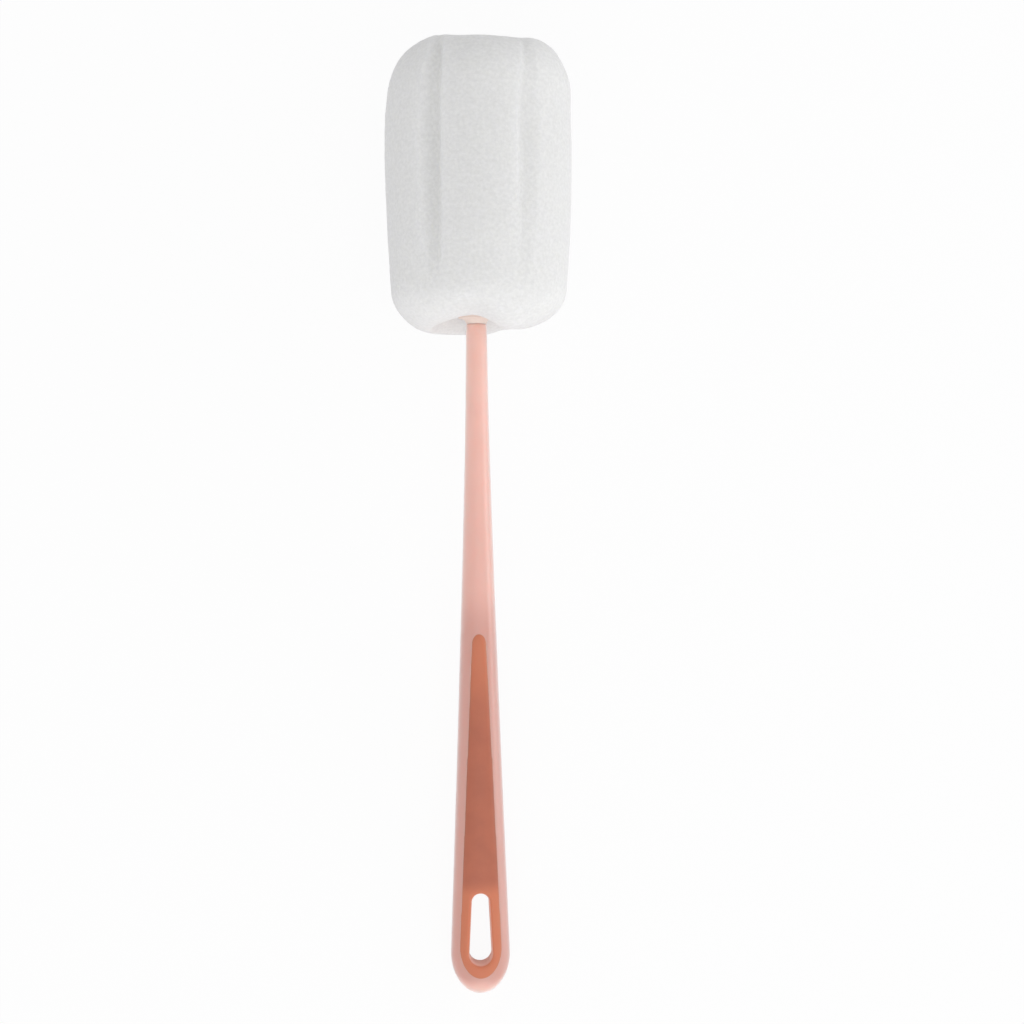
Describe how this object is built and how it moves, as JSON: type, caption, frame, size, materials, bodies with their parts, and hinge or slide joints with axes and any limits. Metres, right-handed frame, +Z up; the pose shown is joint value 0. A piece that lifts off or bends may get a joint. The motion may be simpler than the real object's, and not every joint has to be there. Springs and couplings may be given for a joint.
{
  "type": "sponge bottle brush",
  "caption": "Long-handled bottle brush with a lobed foam sponge head that pulls off its spigot, a soft grip inlay and a hanging slot.",
  "frame": {"origin": "on the table that the brush lies on, under the middle of its bounding box", "axes": "+Z up, out of the front of the brush; +Y along the brush from the handle's butt to the foam head, level with the table; +X to the right of the front"},
  "size_m": [0.0616, 0.31, 0.0648],
  "materials": {
    "handle_plastic": "satin",
    "soft_grip": "matte",
    "core_plastic": "satin",
    "foam": "matte"
  },
  "bodies": {
    "handle": {"handle": "handle_plastic", "grip_inlay": "soft_grip"},
    "head": {"head_core": "core_plastic", "sponge_head": "foam"}
  },
  "joints": [
    {"name": "head_pull", "type": "slide", "parent": "handle", "child": "head", "axis": [0, 0.9947, 0.1025], "range_m": [0, 0.046]}
  ]
}
